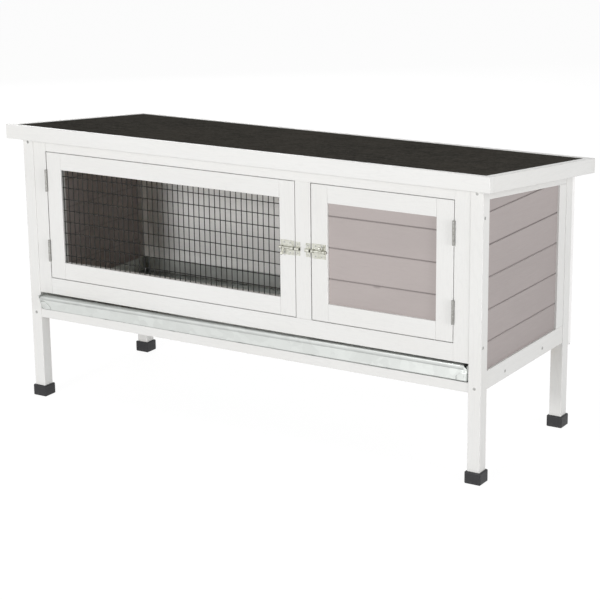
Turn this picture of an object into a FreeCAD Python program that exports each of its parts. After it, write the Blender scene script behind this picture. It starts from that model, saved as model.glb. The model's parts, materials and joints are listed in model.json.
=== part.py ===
import FreeCAD, Part
import math
import os

from FreeCAD import Vector

# Rabbit hutch on four legs: an open run behind a mesh door on the left, a closed den
# behind a boarded door on the right, a metal tray as the floor and a felted roof that
# slopes down to the back.
# Frame: origin under the middle of the roof at floor level, +X to the right as seen
# from the front, +Y to the back, +Z up. All lengths are in millimetres.

# ---------------------------------------------------------------- driving dimensions

# roof outline in plan, and the height of its top plane at the front and back edges
ROOF_WIDTH = 1160.0
ROOF_DEPTH = 490.0
ROOF_FRONT_Z = 618.0
ROOF_BACK_Z = 568.0
FASCIA_HEIGHT = 31.0
FASCIA_THICKNESS = 16.0
FELT_SET_DOWN = 1.0
FELT_THICKNESS = 2.5
ROOF_BOARD_THICKNESS = 9.0

# box of four posts
BODY_WIDTH = 1110.0
BODY_DEPTH = 410.0
FRONT_OVERHANG = 25.0
POST = 27.0
EASE = 1.0

# rubber-like caps on the feet
CAP_WALL = 4.0
CAP_HEIGHT = 25.0
CAP_FLOOR = 3.0
CAP_ROUND = 2.5

# front frame: its face lies just behind the posts' faces
FACE_SET_BACK = 1.0
FRAME_THICKNESS = 22.0
SIDE_BOARD_SEAM_X = 494.0
MIDDLE_SEAM_LEFT_X = 139.0
MIDDLE_SEAM_RIGHT_X = 176.0
DOOR_SEAM_BOTTOM_Z = 280.0
DOOR_SEAM_TOP_Z = 561.0
FRAME_BOTTOM_Z = 243.0
FRAME_TOP_Z = 600.0
LOWER_RAIL_BOTTOM_Z = 185.0
LOWER_RAIL_TOP_Z = 205.0
LOWER_RAIL_THICKNESS = 14.0
STOP_LIP = 6.0

# doors
DOOR_THICKNESS = 14.0
DOOR_GAP = 1.5
DOOR_STOP_GAP = 0.5
OPENING_BOTTOM_Z = 318.0
OPENING_TOP_Z = 524.0
LEFT_OPENING_X = (-455.0, 102.0)
RIGHT_OPENING_X = (214.0, 456.0)
REBATE = 8.0
BOARD_SET_BACK = 5.0
DOOR_JOINTS_Z = (369.5, 433.5, 497.5)

# welded mesh of the left door
MESH_WIRE = 1.5
MESH_PITCH_X = 13.15
MESH_PITCH_Z = 25.1
MESH_FIRST_X = -452.2
MESH_FIRST_Z = 333.9
MESH_SET_BACK = 4.5
MESH_HOLD = 6.0
GROOVE_PLAY = 0.15

# tongue-and-groove boards
BOARD_THICKNESS = 9.0
BOARD_COVER = 64.0
BOARD_GAP = 0.2
BOARD_CHAMFER = 1.5
TONGUE = (3.0, 4.0)
GROOVE = (3.2, 4.4)

# side walls
SIDE_SET_BACK = 1.0
SIDE_THICKNESS = 14.0
SIDE_RAIL_BOTTOM_Z = 188.0
SIDE_RAIL_TOP_Z = 226.0
SIDE_STILE_WIDTH = 33.0
SIDE_TOP_RAIL_DROP = 49.5
SIDE_FIRST_JOINT_Z = 281.0
SIDE_JOINTS = 5

# back wall
BACK_THICKNESS = 12.0
BACK_BOTTOM_Z = 175.5
BACK_BOARDS = 6

# divider between run and den
DIVIDER_THICKNESS = 9.0
DOORWAY_Y = (-60.0, 100.0)
DOORWAY_Z = (265.0, 450.0)
DOORWAY_ROUND = 60.0

# tray: folded sheet, slightly askew in its slot
SHEET = 1.0
TRAY_WIDTH = 1044.0
TRAY_DEPTH = 405.0
TRAY_HEIGHT = 34.5
TRAY_BOTTOM_Z = 206.0
TRAY_RIGHT_X = 525.0
TRAY_FRONT_Y = -219.0
TRAY_SKEW = 1.15
HEM_HEIGHT = 9.0
HEM_THICKNESS = 1.2
LIP_DEPTH = 18.0
TAB_LENGTH = 24.0
TAB_HEIGHT = 20.0
HEM_END_INSET = 6.0
TAB_CORNER_CUT = 12.0
RIVET_INSET = 8.0
RIVET_RADIUS = 2.2
RIVET_HEAD = 1.0

# runners under the tray's long ends
RUNNER_INNER_X = 500.0
RUNNER_BOTTOM_Z = 190.0
RUNNER_TOP_Z = 205.7

# hinges
HINGE_LENGTH = 47.0
HINGE_CENTRES_Z = (341.0, 497.0)
KNUCKLE_RADIUS = 2.6
KNUCKLE_STAND_OFF = 2.8
KNUCKLES = 5
KNUCKLE_PLAY = 0.3
PIN_RADIUS = 1.2
PIN_PLAY = 0.05
PIN_HEAD = 1.0
LEAF_THICKNESS = 0.6
LEAF_REACH = 12.0

# slide bolts
BOLT_Z = 424.0
PLATE_WIDTH = 32.0
PLATE_HEIGHT = 30.0
PLATE_THICKNESS = 1.0
PLATE_EDGE_INSET = 1.5
STRAP_WIDTH = 5.0
STRAP_THICKNESS = 1.0
ROD_RADIUS = 2.25
ROD_PLAY = 0.3
KEEPER_PLAY = 0.5
ROD_TIP_INSET = 1.0
ROD_TAIL = 3.0
HANDLE_RADIUS = 2.2
HANDLE_LENGTH = 13.0
HANDLE_KNOB = 3.2
HANDLE_START = 7.8
HANDLE_ANGLES = {"left": -55.0, "right": 50.0}
KEEPER_INSET = 0.8
KEEPER_WIDTH = 10.0
KEEPER_HEIGHT = 28.0
PLATE_SCREW_INSET_X = 9.0
SCREW_INSET_Z = 4.5

# screws
SCREW_HEAD_RADIUS = 3.4
SCREW_RADIUS = 1.6
SCREW_LENGTH = 30.0
SMALL_HEAD_RADIUS = 1.9
SMALL_SCREW_RADIUS = 1.0
SMALL_SCREW_LENGTH = 9.0
FRONT_SCREW_Z = (195.0, 578.0)
SIDE_SCREW_Z = (277.0, 531.0)
SIDE_SCREW_INSET = 8.0
RAIL_SCREW_Y = (-111.0, 63.0)
RAIL_SCREW_Z = 203.0

# ------------------------------------------------------------------ worked-out planes

HALF_WIDTH = BODY_WIDTH / 2
HALF_ROOF = ROOF_WIDTH / 2
HALF_ROOF_DEPTH = ROOF_DEPTH / 2
SLOPE = (ROOF_FRONT_Z - ROOF_BACK_Z) / ROOF_DEPTH
POST_FRONT_Y = FRONT_OVERHANG - HALF_ROOF_DEPTH
POST_BACK_Y = POST_FRONT_Y + BODY_DEPTH
POST_INNER_X = HALF_WIDTH - POST
FACE_Y = POST_FRONT_Y + FACE_SET_BACK
FRAME_BACK_Y = FACE_Y + FRAME_THICKNESS
STOP_Y = FACE_Y + DOOR_THICKNESS + DOOR_STOP_GAP
HALF_GAP = DOOR_GAP / 2
UNDER_BOARD = FELT_SET_DOWN + FELT_THICKNESS + ROOF_BOARD_THICKNESS
SIDE_OUTER_X = HALF_WIDTH - SIDE_SET_BACK
SIDE_INNER_X = SIDE_OUTER_X - SIDE_THICKNESS
SIDE_FRONT_Y = POST_FRONT_Y + POST
SIDE_BACK_Y = POST_BACK_Y - POST
MIDDLE_X = (MIDDLE_SEAM_LEFT_X + MIDDLE_SEAM_RIGHT_X) / 2
DOOR_BOTTOM_Z = DOOR_SEAM_BOTTOM_Z + HALF_GAP
DOOR_TOP_Z = DOOR_SEAM_TOP_Z - HALF_GAP
LEFT_DOOR_X = (HALF_GAP - SIDE_BOARD_SEAM_X, MIDDLE_SEAM_LEFT_X - HALF_GAP)
RIGHT_DOOR_X = (MIDDLE_SEAM_RIGHT_X + HALF_GAP, SIDE_BOARD_SEAM_X - HALF_GAP)

UP = Vector(0, 0, 1)
RIGHT = Vector(1, 0, 0)
BACK = Vector(0, 1, 0)
FAR = 2000.0
OVERSHOOT = 1.0

NODES = {}


# --------------------------------------------------------------------------- helpers

def box(x, y, z):
    """Block between pairs of x, y and z."""
    return Part.makeBox(x[1] - x[0], y[1] - y[0], z[1] - z[0], Vector(x[0], y[0], z[0]))


def eased(shape, radius=EASE):
    """The shape with all its edges slightly rounded."""
    return shape.makeFillet(radius, shape.Edges)


def timber(x, y, z):
    """A planed length of timber with eased edges."""
    return eased(box(x, y, z))


def cylinder(radius, start, direction, length):
    """Cylinder from a start point along a unit direction."""
    return Part.makeCylinder(radius, length, start, direction)


def prism(points, direction):
    """Straight prism on a closed outline of points."""
    outline = Part.makePolygon(points + [points[0]])
    return Part.Face(outline).extrude(direction)


def roof_z(y, below=0.0):
    """Height of the roof's top plane at y, or of a plane that far below it."""
    return ROOF_FRONT_Z - SLOPE * (y + HALF_ROOF_DEPTH) - below


def sloped_slab(x, y, top, bottom):
    """Block that follows the roof slope, between two depths below the roof's top plane."""
    outline = [
        Vector(x[0], y[0], roof_z(y[0], bottom)),
        Vector(x[0], y[1], roof_z(y[1], bottom)),
        Vector(x[0], y[1], roof_z(y[1], top)),
        Vector(x[0], y[0], roof_z(y[0], top)),
    ]
    return prism(outline, RIGHT * (x[1] - x[0]))


def above_roof_line(below):
    """Everything over the plane that lies that far below the roof's top plane."""
    return sloped_slab((-FAR, FAR), (-FAR, FAR), -FAR, below)


def mirrored(shape, x=0.0):
    """Mirror image in an upright plane across the hutch."""
    return shape.mirror(Vector(x, 0, 0), RIGHT)


def add(name, *solids):
    """Keep the solids as one named node."""
    if len(solids) == 1:
        NODES[name] = solids[0]
    else:
        NODES[name] = Part.makeCompound(list(solids))


# --------------------------------------------------------------- posts and foot caps

def make_posts():
    """Four full-height posts, cut to the roof slope, in their foot caps."""
    cut_off = above_roof_line(UNDER_BOARD)
    x = (POST_INNER_X, HALF_WIDTH)
    rows = {
        "front": (POST_FRONT_Y, POST_FRONT_Y + POST),
        "rear": (POST_BACK_Y - POST, POST_BACK_Y),
    }
    for row, y in rows.items():
        post = timber(x, y, (CAP_FLOOR, ROOF_FRONT_Z)).cut(cut_off)
        outer = box(
            (x[0] - CAP_WALL, x[1] + CAP_WALL),
            (y[0] - CAP_WALL, y[1] + CAP_WALL),
            (0.0, CAP_HEIGHT),
        )
        hollow = box(x, y, (CAP_FLOOR, CAP_HEIGHT + CAP_WALL))
        cap = eased(outer, CAP_ROUND).cut(hollow)
        add(row + "_right_post", post)
        add(row + "_left_post", mirrored(post))
        add("foot_cap_" + row + "_right", cap)
        add("foot_cap_" + row + "_left", mirrored(cap))


# ----------------------------------------------------------------------- front frame

def make_front_frame():
    """Side boards, rails and middle stile, rebated at the back as stops for the doors."""
    y = (FACE_Y, FRAME_BACK_Y)
    front_layer = (FACE_Y - OVERSHOOT, STOP_Y)
    back_layer = (STOP_Y, FRAME_BACK_Y + OVERSHOOT)
    edge_x = SIDE_BOARD_SEAM_X + HALF_GAP
    lip_x = edge_x - HALF_GAP - STOP_LIP
    top_edge = DOOR_SEAM_TOP_Z + HALF_GAP
    bottom_edge = DOOR_SEAM_BOTTOM_Z - HALF_GAP
    top_lip = top_edge - STOP_LIP
    bottom_lip = bottom_edge + STOP_LIP

    board = timber((lip_x, POST_INNER_X), y, (FRAME_BOTTOM_Z, FRAME_TOP_Z))
    board = board.cut(box((lip_x - OVERSHOOT, edge_x), front_layer, (0.0, FAR)))
    add("front_right_board", board)
    add("front_left_board", mirrored(board))

    def rail(z, notch_z):
        """Rail between the side boards, with a stop lip and lapped ends."""
        length = timber((-edge_x, edge_x), y, z)
        length = length.cut(box((-FAR, FAR), front_layer, notch_z))
        end = box((lip_x, FAR), back_layer, (0.0, FAR))
        return length.cut(end).cut(mirrored(end))

    add("front_top_rail", rail((top_lip, FRAME_TOP_Z), (top_lip - OVERSHOOT, top_edge)))
    add("front_bottom_rail", rail((FRAME_BOTTOM_Z, bottom_lip), (bottom_edge, bottom_lip + OVERSHOOT)))

    left_edge = MIDDLE_SEAM_LEFT_X + HALF_GAP
    right_edge = MIDDLE_SEAM_RIGHT_X - HALF_GAP
    stile = timber((left_edge - STOP_LIP, right_edge + STOP_LIP), y, (bottom_edge, top_edge))
    stile = stile.cut(box((-FAR, left_edge), front_layer, (0.0, FAR)))
    stile = stile.cut(box((right_edge, FAR), front_layer, (0.0, FAR)))
    stile = stile.cut(box((-FAR, FAR), back_layer, (0.0, bottom_lip)))
    stile = stile.cut(box((-FAR, FAR), back_layer, (top_lip, FAR)))
    add("middle_stile", stile)

    lower = timber(
        (-POST_INNER_X, POST_INNER_X),
        (FACE_Y, FACE_Y + LOWER_RAIL_THICKNESS),
        (LOWER_RAIL_BOTTOM_Z, LOWER_RAIL_TOP_Z),
    )
    add("lower_front_rail", lower)


# ------------------------------------------------------------- tongue-and-groove work

def board_outline(height, thickness):
    """Section of one board as (depth from its face, height) pairs, with a V joint."""
    chamfer = BOARD_CHAMFER
    middle = thickness / 2
    tongue = TONGUE[0] / 2
    groove = GROOVE[0] / 2
    top = height - BOARD_GAP
    return [
        (0.0, chamfer),
        (chamfer, 0.0),
        (middle - groove, 0.0),
        (middle - groove, GROOVE[1]),
        (middle + groove, GROOVE[1]),
        (middle + groove, 0.0),
        (thickness, 0.0),
        (thickness, top),
        (middle + tongue, top),
        (middle + tongue, top + TONGUE[1]),
        (middle - tongue, top + TONGUE[1]),
        (middle - tongue, top),
        (chamfer, top),
        (0.0, top - chamfer),
    ]


def boarding(corner, inward, along, length, levels, keep, thickness=BOARD_THICKNESS):
    """Horizontal boards between the given levels, trimmed to the shape they must keep."""
    boards = []
    for low, high in zip(levels, levels[1:]):
        foot = corner + UP * low
        outline = board_outline(high - low, thickness)
        points = [foot + inward * depth + UP * rise for depth, rise in outline]
        boards.append(prism(points, along * length).common(keep))
    return boards


# ------------------------------------------------------------------------ side walls

def make_side_walls():
    """Right wall: boards inside an outer frame, and its mirror image on the left."""
    x = (SIDE_INNER_X, SIDE_OUTER_X)
    face_x = SIDE_INNER_X + BOARD_THICKNESS
    rebate_x = (SIDE_INNER_X - OVERSHOOT, face_x)
    y = (SIDE_FRONT_Y, SIDE_BACK_Y)
    boards_bottom = SIDE_RAIL_TOP_Z - REBATE
    boards_drop = SIDE_TOP_RAIL_DROP - REBATE

    room = box(rebate_x, y, (boards_bottom, ROOF_FRONT_Z))
    room = room.cut(above_roof_line(boards_drop))

    bottom_rail = timber(x, y, (SIDE_RAIL_BOTTOM_Z, SIDE_RAIL_TOP_Z)).cut(room)
    top_rail = eased(sloped_slab(x, y, UNDER_BOARD, SIDE_TOP_RAIL_DROP)).cut(room)
    stile = timber(x, (y[1] - SIDE_STILE_WIDTH, y[1]), (SIDE_RAIL_TOP_Z, ROOF_FRONT_Z))
    stile = stile.cut(above_roof_line(SIDE_TOP_RAIL_DROP)).cut(room)

    joints = [SIDE_FIRST_JOINT_Z + BOARD_COVER * index for index in range(SIDE_JOINTS)]
    levels = [boards_bottom] + joints + [joints[-1] + BOARD_COVER]
    corner = Vector(face_x, SIDE_FRONT_Y, 0)
    boards = boarding(corner, RIGHT * -1, BACK, y[1] - y[0], levels, room)

    pieces = {
        "side_bottom_rail": [bottom_rail],
        "side_top_rail": [top_rail],
        "side_rear_stile": [stile],
        "side_boards": boards,
    }
    for name, solids in pieces.items():
        add("right_" + name, *solids)
        add("left_" + name, *[mirrored(solid) for solid in solids])


def make_back_wall():
    """Boards across the rear faces of the rear posts, and up to the roof board."""
    y = (POST_BACK_Y, POST_BACK_Y + BACK_THICKNESS)
    levels = [BACK_BOTTOM_Z + BOARD_COVER * index for index in range(BACK_BOARDS + 1)]
    keep = box((-HALF_WIDTH, HALF_WIDTH), y, (BACK_BOTTOM_Z, levels[-1] - BOARD_GAP))
    corner = Vector(-HALF_WIDTH, y[1], 0)
    boards = boarding(corner, BACK * -1, RIGHT, BODY_WIDTH, levels, keep, BACK_THICKNESS)
    add("back_boards", *boards)


def make_divider():
    """Panel behind the middle stile, with a rounded doorway for the rabbits."""
    x = (MIDDLE_X - DIVIDER_THICKNESS / 2, MIDDLE_X + DIVIDER_THICKNESS / 2)
    panel = box(x, (FRAME_BACK_Y, POST_BACK_Y), (FRAME_BOTTOM_Z, ROOF_FRONT_Z))
    panel = panel.cut(above_roof_line(UNDER_BOARD))
    doorway = box(grown(x, OVERSHOOT), DOORWAY_Y, DOORWAY_Z)
    across = [
        edge for edge in doorway.Edges
        if edge.Vertexes[0].Point.z == DOORWAY_Z[1]
        and edge.Vertexes[1].Point.z == DOORWAY_Z[1]
        and edge.Vertexes[0].Point.y == edge.Vertexes[1].Point.y
    ]
    add("divider_panel", panel.cut(doorway.makeFillet(DOORWAY_ROUND, across)))


# ------------------------------------------------------------------------------ roof

def make_roof():
    """Roof board and felt inside a frame of four fascia boards."""
    inner_x = HALF_ROOF - FASCIA_THICKNESS
    inner_y = HALF_ROOF_DEPTH - FASCIA_THICKNESS
    felt_bottom = FELT_SET_DOWN + FELT_THICKNESS
    field_x = (-inner_x, inner_x)
    field_y = (-inner_y, inner_y)
    add("roof_board", sloped_slab(field_x, field_y, felt_bottom, UNDER_BOARD))
    add("roof_felt", sloped_slab(field_x, field_y, FELT_SET_DOWN, felt_bottom))

    full_x = (-HALF_ROOF, HALF_ROOF)
    front_y = (-HALF_ROOF_DEPTH, -inner_y)
    rear_y = (inner_y, HALF_ROOF_DEPTH)
    add("front_fascia", eased(sloped_slab(full_x, front_y, 0.0, FASCIA_HEIGHT)))
    add("rear_fascia", eased(sloped_slab(full_x, rear_y, 0.0, FASCIA_HEIGHT)))
    side = eased(sloped_slab((inner_x, HALF_ROOF), field_y, 0.0, FASCIA_HEIGHT))
    add("right_fascia", side)
    add("left_fascia", mirrored(side))


# ----------------------------------------------------------------------------- doors

def door_frame(prefix, hinge_side, door_x, opening_x, cut_out):
    """Two full-height stiles with two rails between them, less the panel's recess."""
    y = (FACE_Y, FACE_Y + DOOR_THICKNESS)
    z = (DOOR_BOTTOM_Z, DOOR_TOP_Z)
    left = timber((door_x[0], opening_x[0]), y, z).cut(cut_out)
    right = timber((opening_x[1], door_x[1]), y, z).cut(cut_out)
    left_name = "hinge_stile" if hinge_side == "left" else "bolt_stile"
    right_name = "bolt_stile" if hinge_side == "left" else "hinge_stile"
    add(prefix + left_name, left)
    add(prefix + right_name, right)
    add(prefix + "top_rail", timber(opening_x, y, (OPENING_TOP_Z, DOOR_TOP_Z)).cut(cut_out))
    add(prefix + "bottom_rail", timber(opening_x, y, (DOOR_BOTTOM_Z, OPENING_BOTTOM_Z)).cut(cut_out))


def grown(span, amount):
    """A span made longer at both ends."""
    return (span[0] - amount, span[1] + amount)


def steps(first, pitch, end):
    """Positions from the first, a pitch apart, that stay short of the end."""
    count = int((end - first) // pitch) + 1
    return [first + pitch * index for index in range(count)]


def make_left_door():
    """Framed door with welded mesh held in a groove near its front face."""
    mesh_y = (FACE_Y + MESH_SET_BACK, FACE_Y + MESH_SET_BACK + MESH_WIRE)
    opening_z = (OPENING_BOTTOM_Z, OPENING_TOP_Z)
    groove = box(grown(LEFT_OPENING_X, REBATE), grown(mesh_y, GROOVE_PLAY), grown(opening_z, REBATE))
    door_frame("left_door_", "left", LEFT_DOOR_X, LEFT_OPENING_X, groove)

    sheet_x = grown(LEFT_OPENING_X, MESH_HOLD)
    sheet_z = grown(opening_z, MESH_HOLD)
    half = MESH_WIRE / 2
    upright_x = steps(MESH_FIRST_X, MESH_PITCH_X, LEFT_OPENING_X[1])
    level_z = steps(MESH_FIRST_Z, MESH_PITCH_Z, OPENING_TOP_Z)
    sides = [sheet_x[0] - half] + upright_x + [sheet_x[1] + half]
    ends = [sheet_z[0] - half] + level_z + [sheet_z[1] + half]

    def loop(x, z):
        """Closed rectangle in the plane of the mesh."""
        corners = [(x[0], z[0]), (x[1], z[0]), (x[1], z[1]), (x[0], z[1]), (x[0], z[0])]
        return Part.makePolygon([Vector(cx, mesh_y[0], cz) for cx, cz in corners])

    cells = []
    for x in zip(sides, sides[1:]):
        for z in zip(ends, ends[1:]):
            cells.append(loop((x[0] + half, x[1] - half), (z[0] + half, z[1] - half)))
    outer = loop(grown(sheet_x, MESH_WIRE), grown(sheet_z, MESH_WIRE))
    grille = Part.makeFace([outer] + cells, "Part::FaceMakerBullseye")
    add("left_door_mesh", grille.extrude(BACK * MESH_WIRE))


def make_right_door():
    """Framed door with boards let into a rebate from behind."""
    panel_y = (FACE_Y + BOARD_SET_BACK, FACE_Y + DOOR_THICKNESS)
    opening_z = (OPENING_BOTTOM_Z, OPENING_TOP_Z)
    room_x = grown(RIGHT_OPENING_X, REBATE)
    room_z = grown(opening_z, REBATE)
    rebate = box(room_x, (panel_y[0], panel_y[1] + OVERSHOOT), room_z)
    door_frame("right_door_", "right", RIGHT_DOOR_X, RIGHT_OPENING_X, rebate)

    levels = [room_z[0]] + list(DOOR_JOINTS_Z) + [room_z[1]]
    corner = Vector(room_x[0], panel_y[0], 0)
    keep = box(room_x, panel_y, room_z)
    boards = boarding(corner, BACK, RIGHT, room_x[1] - room_x[0], levels, keep)
    add("right_door_boards", *boards)


# ---------------------------------------------------------------------------- hinges

def make_hinges():
    """Two butt hinges per door: leaves in the door gap, knuckles in front of it."""
    axis_x = -SIDE_BOARD_SEAM_X
    axis_y = FACE_Y - KNUCKLE_STAND_OFF
    knuckle = HINGE_LENGTH / KNUCKLES
    bore_radius = PIN_RADIUS + PIN_PLAY
    clear_radius = KNUCKLE_RADIUS + KNUCKLE_PLAY
    leaves = {"frame": [], "door": []}
    pins = []

    for centre_z in HINGE_CENTRES_Z:
        foot = Vector(axis_x, axis_y, centre_z - HINGE_LENGTH / 2)
        z = (foot.z, foot.z + HINGE_LENGTH)
        y = (axis_y, FACE_Y + LEAF_REACH)
        plates = {
            "frame": box((axis_x - HALF_GAP, axis_x - HALF_GAP + LEAF_THICKNESS), y, z),
            "door": box((axis_x + HALF_GAP - LEAF_THICKNESS, axis_x + HALF_GAP), y, z),
        }
        bore = cylinder(bore_radius, foot - UP * OVERSHOOT, UP, HINGE_LENGTH + 2 * OVERSHOOT)
        for index in range(KNUCKLES):
            owner, other = ("frame", "door") if index % 2 == 0 else ("door", "frame")
            start = foot + UP * (knuckle * index)
            barrel_start = start + UP * (KNUCKLE_PLAY / 2)
            barrel = cylinder(KNUCKLE_RADIUS, barrel_start, UP, knuckle - KNUCKLE_PLAY)
            relief = cylinder(clear_radius, start, UP, knuckle)
            plates[owner] = plates[owner].fuse(barrel)
            plates[other] = plates[other].cut(relief)
        for owner, plate in plates.items():
            leaves[owner].append(plate.cut(bore))
        shank = cylinder(PIN_RADIUS, foot, UP, HINGE_LENGTH)
        head = cylinder(KNUCKLE_RADIUS, foot + UP * HINGE_LENGTH, UP, PIN_HEAD)
        pins.append(shank.fuse(head))

    add("left_door_hinge_leaves", *leaves["door"])
    add("right_door_hinge_leaves", *[mirrored(leaf) for leaf in leaves["door"]])
    add("hinge_frame_leaves", *(leaves["frame"] + [mirrored(leaf) for leaf in leaves["frame"]]))
    add("hinge_pins", *(pins + [mirrored(pin) for pin in pins]))


# ----------------------------------------------------------------------------- bolts

def strap(x, base_y, inner_radius):
    """Strip bent over the rod, standing on a plate whose face is at base_y."""
    axis = Vector(x[0], base_y - inner_radius, BOLT_Z)
    outer_radius = inner_radius + STRAP_THICKNESS
    width = x[1] - x[0]
    arch = cylinder(outer_radius, axis, RIGHT, width)
    legs = box(x, (axis.y, base_y), (BOLT_Z - outer_radius, BOLT_Z + outer_radius))
    hollow = cylinder(inner_radius, axis - RIGHT * OVERSHOOT, RIGHT, width + 2 * OVERSHOOT)
    slot_z = (BOLT_Z - inner_radius, BOLT_Z + inner_radius)
    slot = box(grown(x, OVERSHOOT), (axis.y, base_y), slot_z)
    in_front = box(x, (base_y - FAR, base_y), (0.0, FAR))
    return arch.fuse(legs).common(in_front).cut(hollow).cut(slot)


def make_bolt(side, screws):
    """Bolt beside the middle stile: plate with two straps, rod with a bent handle, keeper."""
    face_y = FACE_Y - PLATE_THICKNESS
    strap_radius = ROD_RADIUS + ROD_PLAY
    rod_y = face_y - strap_radius
    plate_right = LEFT_DOOR_X[1] - PLATE_EDGE_INSET
    plate_x = (plate_right - PLATE_WIDTH, plate_right)
    plate_z = (BOLT_Z - PLATE_HEIGHT / 2, BOLT_Z + PLATE_HEIGHT / 2)
    plate = box(plate_x, (face_y, FACE_Y), plate_z)
    straps = [
        strap((plate_x[0], plate_x[0] + STRAP_WIDTH), face_y, strap_radius),
        strap((plate_x[1] - STRAP_WIDTH, plate_x[1]), face_y, strap_radius),
    ]
    plate = plate.multiFuse(straps)

    tail = Vector(plate_x[0] - ROD_TAIL, rod_y, BOLT_Z)
    tip_x = LEFT_DOOR_X[1] - ROD_TIP_INSET
    rod = cylinder(ROD_RADIUS, tail, RIGHT, tip_x - tail.x)
    rod = rod.makeFillet(EASE, [edge for edge in rod.Edges if len(edge.Vertexes) == 1])
    angle = math.radians(HANDLE_ANGLES[side])
    aim = Vector(0, -math.cos(angle), math.sin(angle))
    grip_start = Vector(plate_x[0] + HANDLE_START, rod_y, BOLT_Z)
    grip = cylinder(HANDLE_RADIUS, grip_start, aim, HANDLE_LENGTH)
    knob = Part.makeSphere(HANDLE_KNOB, grip_start + aim * HANDLE_LENGTH)
    rod = rod.fuse(grip).fuse(knob)

    keeper_left = MIDDLE_SEAM_LEFT_X + HALF_GAP + KEEPER_INSET
    keeper_x = (keeper_left, keeper_left + KEEPER_WIDTH)
    keeper_z = (BOLT_Z - KEEPER_HEIGHT / 2, BOLT_Z + KEEPER_HEIGHT / 2)
    keeper = box(keeper_x, (face_y, FACE_Y), keeper_z)
    keeper = keeper.fuse(strap(keeper_x, face_y, ROD_RADIUS + KEEPER_PLAY))

    plate_screws = []
    for x in grown(plate_x, -PLATE_SCREW_INSET_X):
        for z in grown(plate_z, -SCREW_INSET_Z):
            plate_screws.append(small_screw(Vector(x, face_y, z)))
    keeper_middle = (keeper_x[0] + keeper_x[1]) / 2
    keeper_screws = [
        small_screw(Vector(keeper_middle, face_y, z)) for z in grown(keeper_z, -SCREW_INSET_Z)
    ]
    solids = {"plate": plate, "rod": rod, "keeper": keeper}
    if side == "right":
        solids = {name: mirrored(solid, MIDDLE_X) for name, solid in solids.items()}
        plate_screws = [mirrored(screw, MIDDLE_X) for screw in plate_screws]
        keeper_screws = [mirrored(screw, MIDDLE_X) for screw in keeper_screws]
    add(side + "_bolt_plate", solids["plate"])
    add(side + "_bolt_rod", solids["rod"])
    add(side + "_door_screws", *plate_screws)
    screws.extend(keeper_screws)
    return solids["keeper"]


# ------------------------------------------------------------------------------ tray

def make_tray():
    """Shallow folded tray: a lip inside its front edge, a hem and riveted tabs outside."""
    x = (TRAY_RIGHT_X - TRAY_WIDTH, TRAY_RIGHT_X)
    y = (TRAY_FRONT_Y, TRAY_FRONT_Y + TRAY_DEPTH)
    z = (TRAY_BOTTOM_Z, TRAY_BOTTOM_Z + TRAY_HEIGHT)
    outer = box(x, y, z)
    hollow = box(grown(x, -SHEET), grown(y, -SHEET), (z[0] + SHEET, z[1] + SHEET))
    hem_y = (y[0] - HEM_THICKNESS, y[0])
    hem = box(grown(x, -HEM_END_INSET), hem_y, (z[1] - HEM_HEIGHT, z[1]))
    lip = box(x, (y[0], y[0] + LIP_DEPTH), (z[1] - SHEET, z[1]))
    tab_outline = [
        Vector(x[1], y[0], z[0]),
        Vector(x[1] - TAB_LENGTH, y[0], z[0]),
        Vector(x[1] - TAB_LENGTH, y[0], z[0] + TAB_HEIGHT / 2),
        Vector(x[1] - TAB_LENGTH + TAB_CORNER_CUT, y[0], z[0] + TAB_HEIGHT),
        Vector(x[1], y[0], z[0] + TAB_HEIGHT),
    ]
    tab = prism(tab_outline, BACK * -SHEET)
    middle_x = (x[0] + x[1]) / 2
    tray = outer.cut(hollow).multiFuse([hem, lip, tab, mirrored(tab, middle_x)])
    rivet_at = Vector(x[1] - RIVET_INSET, y[0] - SHEET, z[0] + TAB_HEIGHT / 2)
    rivet = cylinder(RIVET_RADIUS, rivet_at, BACK * -1, RIVET_HEAD)
    rivet = rivet.makeFillet(RIVET_HEAD / 2, [rivet.Edges[0]])
    rivets = [rivet, mirrored(rivet, middle_x)]

    pivot = Vector(x[1], y[0], 0)
    for solid in [tray] + rivets:
        solid.rotate(pivot, UP, TRAY_SKEW)
    add("tray", tray)
    add("tray_rivets", *rivets)


def make_runners():
    """Strips on the side bottom rails that carry the tray."""
    runner = timber(
        (RUNNER_INNER_X, SIDE_INNER_X),
        (SIDE_FRONT_Y, SIDE_BACK_Y),
        (RUNNER_BOTTOM_Z, RUNNER_TOP_Z),
    )
    add("tray_runners", runner, mirrored(runner))


# ---------------------------------------------------------------------------- screws

def screw(head_at, inward, head_radius=SCREW_HEAD_RADIUS, radius=SCREW_RADIUS, length=SCREW_LENGTH):
    """Countersunk screw whose flat head lies flush at a point of the surface."""
    cone = Part.makeCone(head_radius, radius, head_radius, head_at, inward)
    return cone.fuse(cylinder(radius, head_at, inward, length))


def small_screw(head_at):
    """Small screw of the door furniture, driven in from the front."""
    return screw(head_at, BACK, SMALL_HEAD_RADIUS, SMALL_SCREW_RADIUS, SMALL_SCREW_LENGTH)


def make_screws(extra):
    """All screws of the cabinet, in one group with those of the keepers."""
    post_x = HALF_WIDTH - POST / 2
    side_y = POST_FRONT_Y + SIDE_SCREW_INSET
    right = [screw(Vector(post_x, POST_FRONT_Y, z), BACK) for z in FRONT_SCREW_Z]
    right += [screw(Vector(HALF_WIDTH, side_y, z), RIGHT * -1) for z in SIDE_SCREW_Z]
    right += [screw(Vector(SIDE_OUTER_X, y, RAIL_SCREW_Z), RIGHT * -1) for y in RAIL_SCREW_Y]
    back_y = POST_BACK_Y + BACK_THICKNESS
    first_z = BACK_BOTTOM_Z + BOARD_COVER / 2
    for index in range(BACK_BOARDS):
        z = first_z + BOARD_COVER * index
        right.append(screw(Vector(post_x, back_y, z), BACK * -1))
    add("frame_screws", *(right + [mirrored(item) for item in right] + extra))


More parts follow.
